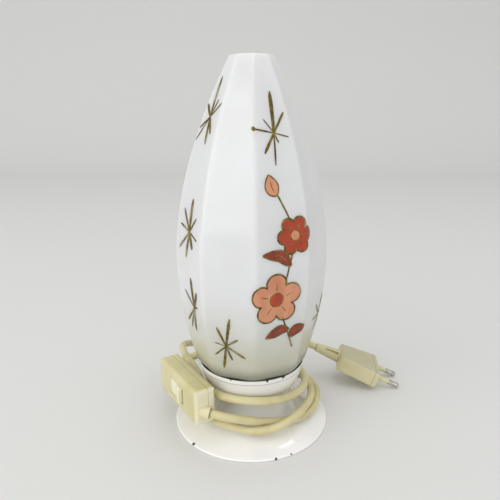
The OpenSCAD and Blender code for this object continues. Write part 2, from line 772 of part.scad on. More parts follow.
module rocker() color("cornsilk") {
    outer_y = switch_face_y - rocker_proud;
    rocker_pose() difference() {
        linear_extrude(rocker_h, center = true) polygon([
            [-rocker_l / 2, outer_y], [0, outer_y + rocker_dish], [rocker_l / 2, outer_y],
            [rocker_l / 2, switch_face_y + rocker_side_deep], [rocker_back_l / 2, bridge_y],
            [-rocker_back_l / 2, bridge_y], [-rocker_l / 2, switch_face_y + rocker_side_deep]]);
        translate([0, pivot_y, -rocker_h]) cylinder(r = rocker_pin_r + turn_room, h = 2 * rocker_h);
    }
}

module rocker_pin() color("silver") {
    pin_l = 2 * (ear_z + ear_t);
    switch_place() translate([0, pivot_y, -pin_l / 2]) cylinder(r = rocker_pin_r, h = pin_l);
}

module contact_bridge() color("gold") {
    rocker_pose() translate([-bridge_l / 2, bridge_y, -bridge_h / 2]) cube([bridge_l, bridge_t, bridge_h]);
}

module fixed_contacts() color("gold") {
    switch_place() for (p = posts) difference() {
        translate([p[0] - post_l / 2, p[1], -post_h / 2]) cube([post_l, switch_floor_y - p[1], post_h]);
        translate([p[0], post_screw_y, post_h / 2 - post_screw_l])
            cylinder(r = post_screw_r + press_room, h = 2 * post_screw_l);
    }
}

module switch_terminal_screws() color("silver") {
    switch_place() for (p = posts) translate([p[0], post_screw_y, post_h / 2]) {
        cylinder(r = post_screw_head_r, h = post_screw_head_h);
        translate([0, 0, -post_screw_l]) cylinder(r = post_screw_r, h = post_screw_l);
    }
}

module casing_screws() color("silver") {
    shank = casing_seat_y - split_y + casing_screw_l - slip_room;
    switch_place() {
        at_casing_screws(casing_seat_y) cylinder(r = casing_head_r, h = casing_head_h);
        at_casing_screws(casing_seat_y - shank) cylinder(r = casing_screw_r, h = shank);
    }
}

module bush_near() color("lemonchiffon") {
    bush(near_at, near_dir, collar_tail, collar_l);
}

module bush_far() color("lemonchiffon") {
    bush(far_at, far_dir, collar_tail, collar_l);
}

module switch_cores() color("saddlebrown") {
    switch_place() for (route = [switch_live_near, switch_live_far, switch_neutral])
        sweep(route, core_d / 2, core_sides);
}

// Plug

module plug_body() color("wheat") {
    r = plug_edge_r;
    plug_place() difference() {
        hull() for (z = [r - plug_t / 2, plug_t / 2 - r], side = [-1, 1]) {
            translate([-prong_l - r, side * (plug_front_w / 2 - r), z]) sphere(r = r, $fn = 32);
            translate([r - prong_l - plug_l, side * (plug_rear_w / 2 - r), z]) sphere(r = r, $fn = 32);
        }
        at_prongs() back_from(0)
            cylinder(r = prong_core_r + press_room, h = prong_l + prong_root + slip_room);
    }
}

module plug_relief() color("wheat") {
    plug_place() back_from(prong_l + plug_l) difference() {
        rotate_extrude() polygon([[bush_bore_r, 0], [relief_front_r, 0], [relief_rear_r, relief_l],
            [bush_bore_r, relief_l]]);
        for (k = [0 : relief_slots - 1]) rotate((k + 1 / 2) * 360 / relief_slots)
            translate([relief_slot_r, -relief_slot_w / 2, relief_slot_start])
                cube([relief_front_r, relief_slot_w, relief_slot_l]);
    }
}

module plug_pins() color("silver") {
    plug_place() at_prongs() back_from(0) rotate_extrude() polygon(concat(
        [for (a = [0 : 15 : 90]) [prong_r * sin(a), prong_r * (1 - cos(a))]],
        [[prong_r, prong_l - sleeve_l], [prong_core_r, prong_l - sleeve_l],
         [prong_core_r, prong_l + prong_root], [0, prong_l + prong_root]]));
}

module pin_sleeves() color("wheat") {
    plug_place() at_prongs() back_from(prong_l - sleeve_l)
        tube(prong_r, prong_core_r + press_room, sleeve_l);
}

enamel_foot();
enamel_cup();
glass_shade();
threaded_tube();
tube_nut();
tube_washer();
holder_base();
holder_body();
holder_insert();
screw_shell();
centre_contact();
holder_terminal_screws();
bulb_glass();
bulb_cap();
bulb_insulator();
bulb_contact();
bulb_stem();
filament();
cord_gland();
lamp_cores();
cord_winding();
cord_tail();
switch_front();
switch_back();
rocker();
rocker_pin();
contact_bridge();
fixed_contacts();
switch_terminal_screws();
casing_screws();
bush_near();
bush_far();
switch_cores();
plug_body();
plug_relief();
plug_pins();
pin_sleeves();
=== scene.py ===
import json
import bmesh
import bpy
import numpy as np
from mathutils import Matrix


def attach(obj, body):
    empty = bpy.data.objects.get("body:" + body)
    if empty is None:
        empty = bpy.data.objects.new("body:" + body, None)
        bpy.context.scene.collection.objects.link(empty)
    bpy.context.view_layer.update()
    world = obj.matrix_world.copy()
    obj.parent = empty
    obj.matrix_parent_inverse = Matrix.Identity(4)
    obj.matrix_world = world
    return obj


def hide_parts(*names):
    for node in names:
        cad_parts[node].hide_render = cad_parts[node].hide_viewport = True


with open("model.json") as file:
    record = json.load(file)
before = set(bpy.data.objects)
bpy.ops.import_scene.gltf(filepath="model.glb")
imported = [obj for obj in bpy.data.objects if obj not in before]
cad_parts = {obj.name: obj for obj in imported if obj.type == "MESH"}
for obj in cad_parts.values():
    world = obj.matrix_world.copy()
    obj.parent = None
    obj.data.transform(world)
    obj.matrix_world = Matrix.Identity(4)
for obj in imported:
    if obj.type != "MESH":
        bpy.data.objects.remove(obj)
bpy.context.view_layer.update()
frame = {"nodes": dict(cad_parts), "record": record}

nodes = frame["nodes"]
scene = bpy.context.scene
scene.view_settings.view_transform = "Standard"
mm = 0.001
print("frame loaded:", len(nodes), "nodes")

view = {"place": (-0.00098, -0.31827, 0.21467), "down": 15.35, "lens": 34.56, "sensor": 36.0}


def setCamera():
    lens = bpy.data.cameras.new("camera")
    lens.lens, lens.sensor_width = view["lens"], view["sensor"]
    lens.clip_start = 0.01
    camera = bpy.data.objects.new("camera", lens)
    camera.location = view["place"]
    camera.rotation_euler = (np.radians(90 - view["down"]), 0, 0)
    scene.collection.objects.link(camera)
    scene.camera = camera


setCamera()
print("camera set")


# a grid of points, rows x columns x 3 in metres, becomes quads between neighbours
def gridPiece(name, grids, wrapRows=True, wrapColumns=True, capEnds=False):
    points, faces, start = [], [], 0
    for grid in grids:
        rows, columns = grid.shape[:2]
        index = start + np.arange(rows * columns).reshape(rows, columns)
        nextRow = np.roll(index, -1, 0) if wrapRows else index[1:]
        here = index if wrapRows else index[:-1]
        if wrapColumns:
            quads = np.stack([here, np.roll(here, -1, 1), np.roll(nextRow, -1, 1), nextRow], -1)
        else:
            quads = np.stack([here[:, :-1], here[:, 1:], nextRow[:, 1:], nextRow[:, :-1]], -1)
        faces += quads.reshape(-1, 4).tolist()
        if capEnds:
            faces += [index[0].tolist(), index[-1][::-1].tolist()]
        points.append(grid.reshape(-1, 3))
        start += rows * columns
    mesh = bpy.data.meshes.new(name)
    mesh.from_pydata(np.concatenate(points).tolist(), [], faces)
    bm = bmesh.new()
    bm.from_mesh(mesh)
    bmesh.ops.remove_doubles(bm, verts=bm.verts, dist=1e-7)
    bmesh.ops.recalc_face_normals(bm, faces=bm.faces)
    bm.to_mesh(mesh)
    bm.free()
    mesh.shade_smooth()
    piece = bpy.data.objects.new(name, mesh)
    scene.collection.objects.link(piece)
    return piece


def unit(v):
    return v / np.linalg.norm(v, axis=-1, keepdims=True)


def level(degrees, slope):  # a direction that points that way in plan and rises by slope
    turn = np.radians(degrees)
    return unit(np.array([np.cos(turn), np.sin(turn), slope]))


lead = {"diameter": 5.5, "spacing": 1.6, "sides": 20, "bushLength": 5.0, "collarLength": 3.0,
        "glandTurn": 110, "glandRadius": 28, "glandHeight": 12.9614, "glandWay": level(37, 0.66),
        "switchAt": np.array([-45.8, -17.2, 31.5]), "switchYaw": -57, "switchLength": 58, "drop": 3.5,
        "nearWay": level(-14, -0.14), "farWay": level(95, -0.15),
        "plugTip": np.array([122.6, 42.7, 1.98716]), "plugDip": 21, "plugHeading": -7.5, "plugReach": 73}
# angle round the lamp, distance from its axis and height
windingStations = [
    (-90, 39.8, 20.2), (-75, 36.4, 16.3), (-60, 36, 13.7), (-45, 38.6, 12.2), (-30, 42.2, 11.4),
    (-15, 45.6, 11), (0, 48.8, 11.2), (15, 51.8, 12.2), (30, 53.2, 12.4), (45, 52.8, 11.2),
    (60, 51.2, 9.8), (90, 48.5, 9), (120, 47.5, 9), (150, 46.5, 9.3), (165, 45.8, 10.2),
    (180, 45, 11.8), (195, 44.2, 14), (210, 43, 15.4), (225, 41.9, 15.8), (240, 41, 15.6),
    (255, 40.7, 14.7), (270, 41.2, 13.4), (285, 42.6, 14.2), (300, 43.6, 16.4), (315, 43.3, 17.8),
    (330, 42.6, 18), (345, 43.2, 17.4), (360, 44.8, 17), (375, 46, 17.2), (390, 47, 17.4),
    (405, 48.6, 17.4), (420, 50.8, 16.8), (435, 53.8, 14.6), (450, 59, 11.5), (463, 69.4, 11),
    (474.5, 79.2, 16), (483, 82.2, 22), (492, 80.6, 27.6), (500, 74.5, 31), (508.5, 63.3, 32.6),
    (522, 48.4, 33.3), (540, 39.6, 33.3), (555, 37.6, 33.4), (570, 37.3, 33.6), (600, 37.6, 33.9),
    (630, 37.6, 33.7), (660, 36.8, 31.2), (690, 36.4, 27.9), (720, 39.6, 25.2), (735, 41.8, 25),
    (750, 43.2, 25.2), (765, 43, 25.4), (780, 41.3, 25), (795, 38.4, 23.4)]
tailStations = [
    (-63.6, 33, 21.4), (-65, 47, 14.6), (-65.2, 60, 8.4), (-63.5, 71, 4.4), (-58, 80.5, 3.1),
    (-49.5, 87.5, 3), (-37, 93.5, 3), (-20, 99.5, 3), (-4.5, 102.4, 3.4), (8.5, 101.8, 5.4),
    (19, 98, 10.2), (25.5, 91.5, 16.4), (28.3, 83.5, 22.6), (29, 75.3, 27.9), (30.4, 67.9, 31.2),
    (34.6, 60.7, 32.7), (41, 55.3, 32.3)]


def polar(degrees, radius, z):
    turn = np.radians(degrees)
    return np.stack(np.broadcast_arrays(radius * np.cos(turn), radius * np.sin(turn), z), -1)


# cubic spans through the points, each tangent weighted by the lengths of its two spans
def smoothRoute(points, spacing, perSpan=40):
    span = np.diff(points, axis=0)
    length = np.linalg.norm(span, axis=1, keepdims=True)
    way = span / length
    tangent = np.empty_like(points)
    tangent[1:-1] = (way[1:] * length[:-1] + way[:-1] * length[1:]) / (length[1:] + length[:-1])
    tangent[:2], tangent[-2:] = way[0], way[-1]
    t = np.linspace(0, 1, perSpan, endpoint=False)[None, :, None]
    a, b = points[:-1, None], points[1:, None]
    ta, tb = (tangent[:-1] * length)[:, None], (tangent[1:] * length)[:, None]
    line = (a * (2 * t**3 - 3 * t**2 + 1) + b * (3 * t**2 - 2 * t**3)
            + ta * (t**3 - 2 * t**2 + t) + tb * (t**3 - t**2))
    line = np.concatenate([line.reshape(-1, 3), points[-1:]])
    run = np.concatenate([[0], np.cumsum(np.linalg.norm(np.diff(line, axis=0), axis=1))])
    even = np.linspace(0, run[-1], int(run[-1] / spacing) + 1)
    return np.stack([np.interp(even, run, line[:, k]) for k in range(3)], -1), run[-1]


# a circle carried along the route, square to it
def tubeGrid(route, radius, sides):
    way = unit(np.gradient(route, axis=0))
    side = unit(np.cross(way, (0, 0, 1)))
    top = np.cross(side, way)
    turn = np.linspace(0, 2 * np.pi, sides, endpoint=False)[None, :, None]
    return route[:, None] + radius * (np.cos(turn) * side[:, None] + np.sin(turn) * top[:, None])


def rotated(points, degrees):  # plane points turned about the origin
    c, s = np.cos(np.radians(degrees)), np.sin(np.radians(degrees))
    return points @ np.array([[c, s], [-s, c]])


rocker = {"outline": [(-8.8, -9.2), (0, -7.8), (8.8, -9.2), (8.8, -5.5), (3, -2.5), (-3, -2.5), (-8.8, -5.5)],
          "height": 11.0, "round": 0.7, "pivot": np.array([0, -3.5]), "rest": -9,
          "arcPoints": 6, "endRows": 7}


# each corner is an arc of the blend of its two edges' normals; the end rows draw in on a quarter circle
def makeRocker():
    corner, r = np.array(rocker["outline"]), rocker["round"]
    edge = unit(np.roll(corner, -1, 0) - corner)
    after = np.stack([edge[:, 1], -edge[:, 0]], -1)
    before = np.roll(after, 1, 0)
    bulge = np.sign(before[:, :1] * after[:, 1:] - before[:, 1:] * after[:, :1])
    middle = corner - bulge * r * (before + after) / (1 + np.sum(before * after, -1, keepdims=True))
    t = np.linspace(0, 1, rocker["arcPoints"])[None, :, None]
    normal = unit(before[:, None] * (1 - t) + after[:, None] * t)
    rows = rocker["endRows"]
    rise = np.radians(np.concatenate([np.linspace(-90, 0, rows), np.linspace(0, 90, rows)]))
    end = np.repeat([-1, 1], rows)
    inset = (r * (1 - np.cos(rise)))[:, None, None, None]
    flat = middle[:, None] + (bulge[:, None] * r - inset) * normal
    flat = rotated(flat.reshape(len(rise), -1, 2) - rocker["pivot"], rocker["rest"]) + rocker["pivot"]
    z = end * (rocker["height"] / 2 - r) + r * np.sin(rise)
    flat = rotated(flat, lead["switchYaw"])
    grid = np.stack(np.broadcast_arrays(flat[..., 0], flat[..., 1], z[:, None]), -1) + lead["switchAt"]
    piece = gridPiece("rockerCap", [grid * mm], wrapRows=False, capEnds=True)
    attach(piece, "rocker")
    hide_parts("rocker")
    return piece


def makeLead(name, points, farEnd, lay, withPieces, *replaced):
    route, length = smoothRoute(points, lead["spacing"])
    grid = tubeGrid(route, lead["diameter"] / 2, lead["sides"])
    piece = gridPiece(name, [grid * mm], wrapRows=False, capEnds=True)
    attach(piece, "base")
    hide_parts(*replaced)
    lead["diameter"] * mm
    print(name, round(length), "mm")
    return piece


def switchEnds():  # where the lead goes into the casing
    reach, drop = level(lead["switchYaw"], 0) * lead["switchLength"] / 2, np.array([0, 0, lead["drop"]])
    return lead["switchAt"] + reach - drop, lead["switchAt"] - reach - drop


def makeLeads(cap):
    nearAt, farAt = switchEnds()
    gland = polar(lead["glandTurn"], lead["glandRadius"], lead["glandHeight"])
    dip, heading = np.radians(lead["plugDip"]), np.radians(lead["plugHeading"])
    plugWay = np.array([np.cos(dip) * np.cos(heading), np.cos(dip) * np.sin(heading), -np.sin(dip)])
    reliefEnd = lead["plugTip"] - plugWay * lead["plugReach"]
    first, collar, straight = lead["bushLength"], lead["collarLength"], lead["diameter"]
    stations = np.array(windingStations, float)
    winding = np.concatenate([
        [nearAt + lead["nearWay"] * collar, nearAt + lead["nearWay"] * (collar + straight)],
        polar(stations[:, 0], stations[:, 1], stations[:, 2]),
        [gland + lead["glandWay"] * (first + straight), gland + lead["glandWay"] * first]])
    tail = np.concatenate([
        [farAt + lead["farWay"] * collar, farAt + lead["farWay"] * (collar + straight)],
        np.array(tailStations, float), [reliefEnd - plugWay * straight, reliefEnd]])
    onLead = [nodes[n] for n in ("switch_front", "switch_back", "bush_near", "bush_far", "casing_screws")]
    onLead.append(cap)
    onTail = [nodes[n] for n in ("plug_body", "plug_relief", "plug_pins", "pin_sleeves")]
    return [makeLead("leadWinding", winding[::-1], "fitting", "coiled", onLead, "cord_winding"),
            makeLead("leadTail", tail, "plug", "loose", onTail, "cord_tail")]


rockerCap = makeRocker()
leads = makeLeads(rockerCap)


# one socket of a finish; sums on it add Math nodes
class Wire:
    def __init__(self, tree, socket=None):
        self.tree, self.socket = tree, socket

    def node(self, kind, settings=None, inputs=None, out=0):
        made = self.tree.nodes.new("ShaderNode" + kind)
        for name, value in (settings or {}).items():
            setattr(made, name, value)
        for name, value in (inputs or {}).items():
            if isinstance(value, Wire):
                self.tree.links.new(value.socket, made.inputs[name])
            else:
                made.inputs[name].default_value = value
        return Wire(self.tree, made.outputs[out])

    def sums(self, operation, a, b):
        return self.node("Math", {"operation": operation}, {0: a, 1: b})

    def __add__(self, other): return self.sums("ADD", self, other)
    def __sub__(self, other): return self.sums("SUBTRACT", self, other)
    def __rsub__(self, other): return self.sums("SUBTRACT", other, self)
    def __mul__(self, other): return self.sums("MULTIPLY", self, other)
    def __or__(self, other): return self.sums("MAXIMUM", self, other)
    def __abs__(self): return self.sums("ABSOLUTE", self, 0.0)

    def ease(self, low, high):  # 0 below low, 1 above high, smooth between them
        return self.node("MapRange", {"interpolation_type": "SMOOTHSTEP"},
                         {"Value": self, "From Min": low, "From Max": high})

    def place(self):
        return self.node("TexCoord", out="Object")

    def noise(self, scale, detail=3.0, stretch=None):
        where = self.place()
        if stretch:
            where = self.node("Mapping", None, {"Vector": where, "Scale": stretch})
        return self.node("TexNoise", None, {"Vector": where, "Scale": scale, "Detail": detail}, out="Fac")

    def along(self, origin, way):  # distance from origin along way
        offset = self.node("VectorMath", {"operation": "SUBTRACT"}, {0: self.place(), 1: origin})
        return self.node("VectorMath", {"operation": "DOT_PRODUCT"}, {0: offset, 1: way}, out="Value")

    def away(self, point):
        return self.node("VectorMath", {"operation": "DISTANCE"}, {0: self.place(), 1: point}, out="Value")

    def blendTo(self, first, second):  # self is the share of the second colour
        return self.node("Mix", {"data_type": "RGBA"}, {0: self, 6: first, 7: second}, out=2)

    def bump(self, strength, depth):
        inputs = {"Strength": strength, "Distance": depth, "Height": self}
        return self.node("Bump", None, inputs, out="Normal")


def colour(red, green, blue):  # 0 to 255 as seen on a screen, made linear
    seen = np.array([red, green, blue]) / 255
    return (*np.where(seen <= 0.04045, seen / 12.92, ((seen + 0.055) / 1.055) ** 2.4).tolist(), 1.0)


def makeFinish(name, fixed, varied):
    material = bpy.data.materials.new(name)
    material.use_nodes = True
    tree = material.node_tree
    shader = tree.nodes["Principled BSDF"]
    for socket, value in fixed.items():
        shader.inputs[socket].default_value = value
    for socket, wire in varied(Wire(tree)).items():
        tree.links.new(wire.socket, shader.inputs[socket])
    return material


def wear(piece, finish):
    piece.data.materials.clear()
    piece.data.materials.append(finish)


# in each look, a noise is its scale and detail, a bump its strength and depth
leadLook = {"clean": colour(217, 207, 160), "grimy": colour(186, 171, 116), "grime": (70.0, 5.0),
            "grimeFrom": (0.42, 0.78), "grimeShare": 0.6, "scuffs": (900.0, 2.0), "ripple": (260.0, 2.0),
            "rough": 0.26, "grimeRough": 0.15, "scuffRough": 0.1, "bump": (0.12, 0.0003)}


def leadFinish(w):
    look = leadLook
    grime = w.noise(*look["grime"]).ease(*look["grimeFrom"])
    scuffs = w.noise(*look["scuffs"])
    return {"Base Color": (grime * look["grimeShare"]).blendTo(look["clean"], look["grimy"]),
            "Roughness": grime * look["grimeRough"] + scuffs * look["scuffRough"] + look["rough"],
            "Normal": (scuffs + w.noise(*look["ripple"])).bump(*look["bump"])}


leadSheath = makeFinish("leadSheath", {"IOR": 1.5}, leadFinish)
for piece in leads:
    wear(piece, leadSheath)
print("leads done")

glass = {"baseZ": 45.0, "height": 207.0, "belly": 79.0, "bellyRadius": 51.2, "footRadius": 37.45,
         "topRadius": 14.1, "wall": 3.0, "edge": 4.0, "footEdge": 24.0, "fade": 60.0, "fullness": 1.85,
         "tuck": 4.9, "tuckHeight": 7.0, "sides": 9, "turn": 2.7, "cut": 0.5, "cutPoints": 4, "chamfer": 0.4,
         "levels": 110, "crowdLevels": 1.5, "perSide": 25, "crowdSide": 1.7}
# the low colour is painted shade, tinted yellow by bounced light, towards the glass's lower end; the darkest
# colour is painted shade just above the cup's rim
glassLook = {"white": colour(238, 239, 240), "low": colour(186, 184, 155), "bottomShadeColour": colour(92, 93, 84),
             "shadedLowHeight": (0.05, 0.115), "shadedLowShare": 0.8, "bottomShadeHeight": (0.0465, 0.061), "bottomShadeShare": 0.85,
             "cloud": (22.0, 3.0), "cloudFrom": (0.3, 0.75), "cloudShare": 0.14, "film": (120.0, 2.0),
             "filmRough": 0.06, "rough": 0.12, "ripple": (45.0, 2.0), "bump": (0.05, 0.0006)}
half = np.pi / glass["sides"]  # half the angle that a face spans


# radius over the corners: a power of the distance from the belly, up and down, and a square at the foot
def cornerRadius(h):
    tucked = np.clip(1 - h / glass["tuckHeight"], 0, 1) ** 2
    below = np.clip((glass["belly"] - h) / glass["belly"], 0, 1)
    above = np.clip((h - glass["belly"]) / (glass["height"] - glass["belly"]), 0, 1)
    belly, power = glass["bellyRadius"], glass["fullness"]
    return (belly - (belly - glass["footRadius"]) * below ** power
            - (belly - glass["topRadius"]) * above ** power - glass["tuck"] * tucked)


# radius of the nine edges, which grow rounder towards the lower end
def edgeRadius(h):
    return glass["edge"] + (glass["footEdge"] - glass["edge"]) * np.clip(1 - h / glass["fade"], 0, 1) ** 2


def flatDistance(h):  # from the axis to the middle of a face
    return (cornerRadius(h) - edgeRadius(h)) * np.cos(half) + edgeRadius(h)


# a nonagon with rounded edges in polar form: an arc near each corner, a straight line between arcs
def glassRadius(angle, h, inset=0.0):
    flat = flatDistance(h) - inset
    arcRadius = edgeRadius(h) - inset
    middle = (flat - arcRadius) / np.cos(half)
    corner = np.radians(glass["turn"] - 90)
    off = np.abs((angle - corner + half) % (2 * half) - half)
    arcEnd = np.arctan2(arcRadius * np.sin(half), middle + arcRadius * np.cos(half))
    arc = middle * np.cos(off) + np.sqrt(np.maximum(arcRadius**2 - (middle * np.sin(off)) ** 2, 0))
    return np.where(off < arcEnd, arc, flat / np.cos(half - off))


# the wall's section runs up the outside, over the cut rim, down the inside and under the lower edge
def makeGlass():
    cut, top, wall, chamfer = glass["cut"], glass["height"], glass["wall"], glass["chamfer"]
    climb = chamfer + (top - cut - chamfer) * np.linspace(0, 1, glass["levels"]) ** glass["crowdLevels"]
    over = np.linspace(0, np.pi / 2, glass["cutPoints"])[1:]
    down = over - over[0]
    h = np.concatenate([climb, top - cut * (1 - np.sin(over)), top - cut * (1 - np.cos(down)),
                        climb[::-1], [0.0, 0.0]])
    inset = np.concatenate([climb * 0, cut * (1 - np.cos(over)), wall - cut * (1 - np.sin(down)),
                            climb * 0 + wall, [wall - chamfer, chamfer]])
    share = np.linspace(-1, 1, glass["perSide"], endpoint=False)
    side = half * np.sign(share) * np.abs(share) ** glass["crowdSide"]
    corners = np.radians(glass["turn"] - 90) + 2 * half * np.arange(glass["sides"])
    angle = (corners[:, None] + side[None]).ravel()
    radius = glassRadius(angle[None], h[:, None], inset[:, None])
    grid = polar(np.degrees(angle)[None], radius, (h + glass["baseZ"])[:, None])
    piece = gridPiece("glassShade", [grid * mm])
    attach(piece, "shade")
    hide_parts("glass_shade")
    return piece


def glassFinish(w):
    look = glassLook
    height = w.along((0, 0, 0), (0, 0, 1))
    cloud = w.noise(*look["cloud"]).ease(*look["cloudFrom"])
    # painted shade with bounced light, fading out upwards
    low = 1 - height.ease(*look["shadedLowHeight"])
    # painted shade, darkest just above the cup's rim
    paintedBottomShade = (1 - height.ease(*look["bottomShadeHeight"])) * look["bottomShadeShare"]
    tone = (low * look["shadedLowShare"] + cloud * look["cloudShare"]).blendTo(look["white"], look["low"])
    return {"Base Color": paintedBottomShade.blendTo(tone, look["bottomShadeColour"]),
            "Roughness": w.noise(*look["film"]) * look["filmRough"] + look["rough"],
            "Normal": w.noise(*look["ripple"]).bump(*look["bump"])}


opal = {"IOR": 1.52, "Coat Weight": 0.25, "Coat Roughness": 0.1, "Subsurface Weight": 0.6,
        "Subsurface Scale": 1.0, "Subsurface Radius": (0.01, 0.01, 0.0093)}
wear(makeGlass(), makeFinish("opalGlass", opal, glassFinish))
print("glass done")


# a point at s along a face and h up it, in mm, laid on the glass with a lift above it
def onGlass(face, s, h, lift):
    normal = np.radians(glass["turn"] - 90) + half + 2 * half * face
    flat = flatDistance(h)
    x = flat * np.cos(normal) - s * np.sin(normal)
    y = flat * np.sin(normal) + s * np.cos(normal)
    angle = np.arctan2(y, x)
    radius = glassRadius(angle, h) + lift
    return np.stack([radius * np.cos(angle), radius * np.sin(angle), h + glass["baseZ"]], -1) * mm


# a lens-shaped section carried along a path on the glass; widths are half widths
def stroke(face, path, widths, rise, sides=8):
    path = np.asarray(path, float)
    way = unit(np.gradient(path, axis=0))
    across = np.stack([-way[:, 1], way[:, 0]], -1)
    turn = np.linspace(0, 2 * np.pi, sides, endpoint=False)
    spread = widths[:, None] * np.cos(turn)[None]
    s = path[:, :1] + across[:, :1] * spread
    h = path[:, 1:] + across[:, 1:] * spread
    return onGlass(face, s, h, rise * np.sin(turn)[None] + 0 * s)


# a flat lens whose edge is a radius that follows the angle
def patch(face, centre, edge, rise, around=120, rings=26, flatness=0.4):
    turn = np.linspace(0, 2 * np.pi, around, endpoint=False)
    ring = np.linspace(0, np.pi, rings)[:, None]
    reach = np.sin(ring) ** flatness * edge(turn)[None]
    s = centre[0] + reach * np.cos(turn)[None]
    h = centre[1] + reach * np.sin(turn)[None]
    return onGlass(face, s, h, rise * np.cos(ring) + 0 * s)


def outline(face, centre, edge, width, around=200):  # a line that follows an edge
    turn = np.linspace(0, 2 * np.pi, around)
    path = np.stack([centre[0] + edge(turn) * np.cos(turn), centre[1] + edge(turn) * np.sin(turn)], -1)
    return stroke(face, path, np.full(len(path), width), relief["line"])


def petals(radius, count, deep, turned, fullness=0.55):  # round lobes with a notch between each two
    return lambda turn: radius * (1 - deep + deep * np.abs(np.cos(count / 2 * (turn - turned))) ** fullness)


def disc(radius):  # an edge of one radius
    return lambda turn: np.full_like(turn, radius)


def smoothPath(points, count=40, spacing=0.2):
    line = smoothRoute(np.array([(s, h, 0.0) for s, h in points]), spacing)[0]
    pick = np.linspace(0, len(line) - 1, count).astype(int)
    return line[pick, :2]


# half widths of the gold lines and heights of the paint above the glass, in mm
lines = {"stem": 0.54, "petals": 0.6, "heart": 0.48, "ray": 0.45, "leaf": 0.48, "vein": 0.36}
relief = {"star": 0.11, "stem": 0.1, "fill": 0.12, "line": 0.16, "heart": 0.19, "vein": 0.2}
# a stroke's width grows from its start and rounds off at a blunt tip
brush = {"size": 1.5, "points": 16, "start": 0.6, "tipFrom": 0.6, "tipLength": 0.41}
# face of the glass, centre, and spikes as (along, up, half width); a fourth number is a dot's radius
starbursts = [
    (-2, (-0.4, 170.4), [(-1.6, 24, .99), (9.2, 8, .55), (4.2, 10.3, .61), (-7.9, 7.9, .89),
                         (-9.8, -6.4, .67), (-10.7, -13.8, .55), (2.8, -16.3, .99), (6.1, -10, .89)]),
    (0, (0.3, 161.4), [(1, 23.8, 1), (-12.7, 2.4, .45, 1.35), (-5.9, 7.9, .35), (8, 11.9, .6),
                       (9.4, -2.4, .35), (-7.4, -11.6, .7), (-1.2, -18.5, .5), (2.4, -5.7, .4)]),
    (-2, (1.5, 101.3), [(0.5, 20.5, 1.3), (-9.7, 13.8, .89), (7.7, 9.5, .67), (-12.9, 3.6, .67),
                        (-13.5, -12.4, .77), (10.2, -4.1, .55), (-3.8, -17, 1.1), (4.7, -10.5, 1.3)]),
    (-2, (4.1, 51.2), [(-0.8, 20.5, 1.3), (-11, 10, .77), (5.9, 12.1, 1.1), (-13.1, -13, .67),
                       (-9.2, -16.9, .67), (-3.2, -17.4, 1.1), (4.9, 1.6, .55)]),
    (-1, (-3.4, 29.9), [(3.5, 20.4, .8), (-5.6, 13.4, .7), (8.2, 5.9, .6), (-7.6, 1.8, .3),
                        (-8, -7.7, .45), (-2.9, -17.6, .75), (12.5, -7.7, .7), (3.5, -10.5, .6)]),
    (1, (13.5, 39), [(2, 15, .8), (-8, 10, .7), (-10.5, -1, .6), (-6, -11, .6), (2, -14, .6), (9, 4, .6),
                     (8, -7, .6)]),
    (2, (-2.5, 118), [(2, 20, .7), (-10, 11, .6), (9, 8, .6), (-12, -3, .5), (-8, -13, .6), (1, -17, .6),
                      (11, -6, .6)]),
    (2, (4.2, 48), [(-3, 19, .7), (8, 12, .6), (-11, 7, .6), (12, -2, .5), (7, -12, .6), (-2, -16, .7),
                    (-10, -9, .5)]),
    (3, (0.8, 165), [(3, 18, .6), (-8, 9, .5), (8, 5, .5), (-9, -5, .5), (-3, -15, .6), (7, -10, .6)]),
    (3, (-5.1, 82), [(-2, 20, .7), (9, 12, .7), (-11, 8, .6), (12, -4, .5), (5, -15, .6), (-6, -14, .6),
                     (-12, -4, .5)]),
    (4, (1.7, 128), [(2, 19, .7), (-9, 11, .6), (10, 9, .6), (-12, -2, .5), (-6, -14, .7), (4, -16, .6),
                     (11, -6, .5)]),
    (4, (-3.4, 40), [(3, 18, .7), (-9, 10, .6), (10, 8, .6), (-11, -5, .5), (-3, -15, .6), (8, -11, .6)]),
    (5, (3.4, 76), [(-2, 19, .7), (8, 12, .6), (-10, 9, .6), (11, -3, .5), (6, -14, .6), (-4, -16, .7),
                    (-12, -4, .5)]),
    (6, (-2, 118), [(3, 18, .7), (-8, 10, .6), (9, 8, .6), (-11, -3, .5), (-5, -14, .6), (5, -15, .7),
                    (10, -5, .5)])]
spray = {"face": 0, "stemPoints": 70,
         "stem": [(10.2, 27.6), (5.4, 40.5), (-0.3, 58.3), (3.6, 80.3), (7.5, 98.3), (3.5, 116.2),
                  (-3.4, 130.1)],
         "blossom": {"at": (-3.4, 63.2), "radius": 16.5, "count": 5, "deep": 0.42, "turned": 0.35},
         "bloom": {"at": (8.6, 102.3), "radius": 11.6, "count": 6, "deep": 0.36, "turned": 0.1},
         "heart": 0.27, "ray": (0.36, 0.68), "rayPoints": 12, "rayEnds": (0.25, 0.1),
         "bud": [(-2.4, 126.1), (-4.9, 131.6), (-6.4, 138)], "budWidth": 4.2,
         "leaves": [[(7.4, 35.5), (13, 40.6), (20, 41.2)],
                    [(5.6, 84.3), (-3.2, 91.2), (-13, 92)],
                    [(6.4, 41.5), (-0.4, 41.3), (-9.2, 37.1)]],
         "leafWidth": 3.4, "leafSides": 16, "vein": (6, 32), "veinEnds": (0.2, 0.0)}


def starStrokes():
    t = np.linspace(0, 1, brush["points"])
    tip = np.maximum(0, (t - brush["tipFrom"]) / brush["tipLength"])
    width = brush["size"] * (brush["start"] + (1 - brush["start"]) * t) * np.sqrt(1 - tip ** 2)
    strokes = []
    for face, centre, spikes in starbursts:
        for spike in spikes:
            path = np.array(centre) + t[:, None] * np.array(spike[:2])
            strokes.append(stroke(face, path, spike[2] * width, relief["star"]))
            if len(spike) > 3:
                strokes.append(patch(face, path[-1], disc(spike[3]), relief["line"]))
    return strokes


